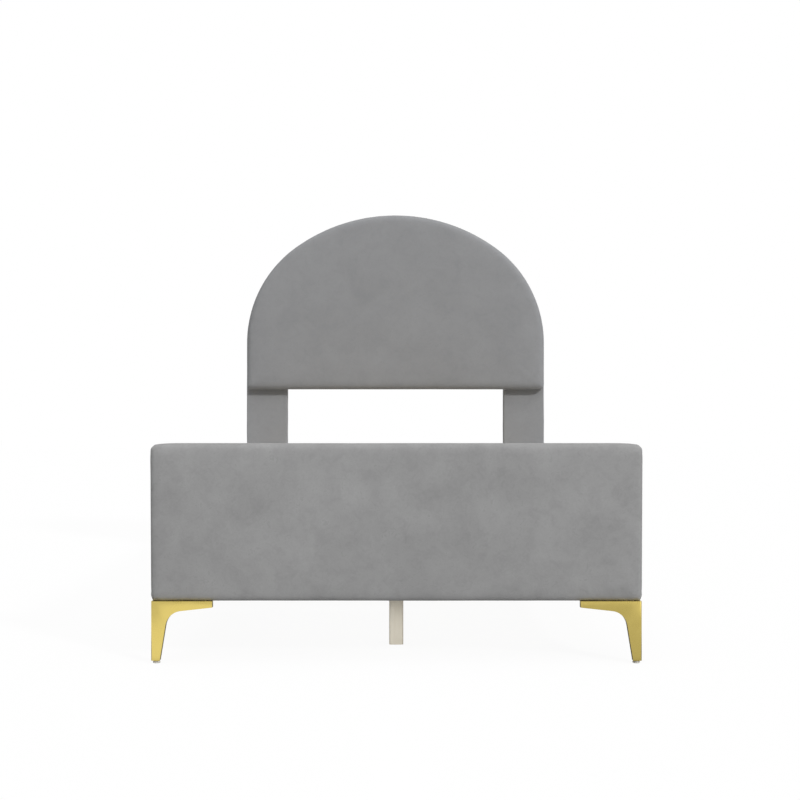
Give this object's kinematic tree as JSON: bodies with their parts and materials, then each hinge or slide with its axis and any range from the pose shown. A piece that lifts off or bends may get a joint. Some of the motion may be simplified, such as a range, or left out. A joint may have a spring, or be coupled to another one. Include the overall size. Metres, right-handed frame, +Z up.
{
  "type": "upholstered platform bed",
  "caption": "Twin-size velvet platform bed with an arched headboard on posts, a low padded footboard, slatted base and gold corner legs with screw-out levelling feet.",
  "frame": {"origin": "on the floor, under the middle of the bed's outline", "axes": "+Z up, +Y from the foot end to the headboard, +X to the right when looking from the foot end"},
  "size_m": [1.04, 2.08, 1.198],
  "materials": {
    "velvet": "short-pile grey velvet",
    "foam": "open-cell polyurethane foam",
    "dust_cloth": "black non-woven cloth",
    "webbing": "woven polyester tape",
    "plywood": "unfinished plywood",
    "pine": "planed pine",
    "poplar": "planed pale poplar",
    "gold_steel": "satin gold plate on pressed steel",
    "zinc_steel": "zinc-plated steel",
    "black_steel": "black powder-coated steel",
    "foot_plastic": "moulded pale plastic"
  },
  "bodies": {
    "frame": {"bracket_bolts": "zinc_steel", "bracket_nuts": "zinc_steel", "center_beam": "pine", "center_leg_bolts": "zinc_steel", "corner_blocks": "pine", "corner_brackets": "black_steel", "deck_screws": "zinc_steel", "foot_beam_hanger": "black_steel", "foot_center_leg": "poplar", "foot_left_leg": "gold_steel", "foot_right_leg": "gold_steel", "footboard_back_cloth": "dust_cloth", "footboard_core": "plywood", "footboard_cover": "velvet", "footboard_foam": "foam", "hanger_screws": "zinc_steel", "head_beam_hanger": "black_steel", "head_center_leg": "poplar", "head_left_leg": "gold_steel", "head_rail_board": "plywood", "head_rail_cover": "velvet", "head_right_leg": "gold_steel", "headboard_back_cloth": "dust_cloth", "headboard_core": "plywood", "headboard_cover": "velvet", "headboard_foam": "foam", "left_post_core": "pine", "left_post_cover": "velvet", "left_rail_board": "plywood", "left_rail_cover": "velvet", "left_rail_foam": "foam", "left_slat_ledge": "pine", "left_slat_strap": "webbing", "leg_screws": "zinc_steel", "middle_center_leg": "poplar", "post_bolts": "zinc_steel", "post_nuts": "zinc_steel", "right_post_core": "pine", "right_post_cover": "velvet", "right_rail_board": "plywood", "right_rail_cover": "velvet", "right_rail_foam": "foam", "right_slat_ledge": "pine", "right_slat_strap": "webbing", "slat_01": "pine", "slat_02": "pine", "slat_03": "pine", "slat_04": "pine", "slat_05": "pine", "slat_06": "pine", "slat_07": "pine", "slat_08": "pine", "slat_09": "pine", "slat_10": "pine", "slat_11": "pine", "slat_12": "pine"},
    "foot_left_leveling_foot": {"foot_left_leveling_foot": "foot_plastic"},
    "foot_right_leveling_foot": {"foot_right_leveling_foot": "foot_plastic"},
    "head_left_leveling_foot": {"head_left_leveling_foot": "foot_plastic"},
    "head_right_leveling_foot": {"head_right_leveling_foot": "foot_plastic"}
  },
  "joints": [
    {"name": "foot_left_foot_screw", "type": "slide", "parent": "frame", "child": "foot_left_leveling_foot", "axis": [0, 0, -1], "range_m": [0, 0.008]},
    {"name": "foot_right_foot_screw", "type": "slide", "parent": "frame", "child": "foot_right_leveling_foot", "axis": [0, 0, -1], "range_m": [0, 0.008]},
    {"name": "head_left_foot_screw", "type": "slide", "parent": "frame", "child": "head_left_leveling_foot", "axis": [0, 0, -1], "range_m": [0, 0.008]},
    {"name": "head_right_foot_screw", "type": "slide", "parent": "frame", "child": "head_right_leveling_foot", "axis": [0, 0, -1], "range_m": [0, 0.008]}
  ]
}
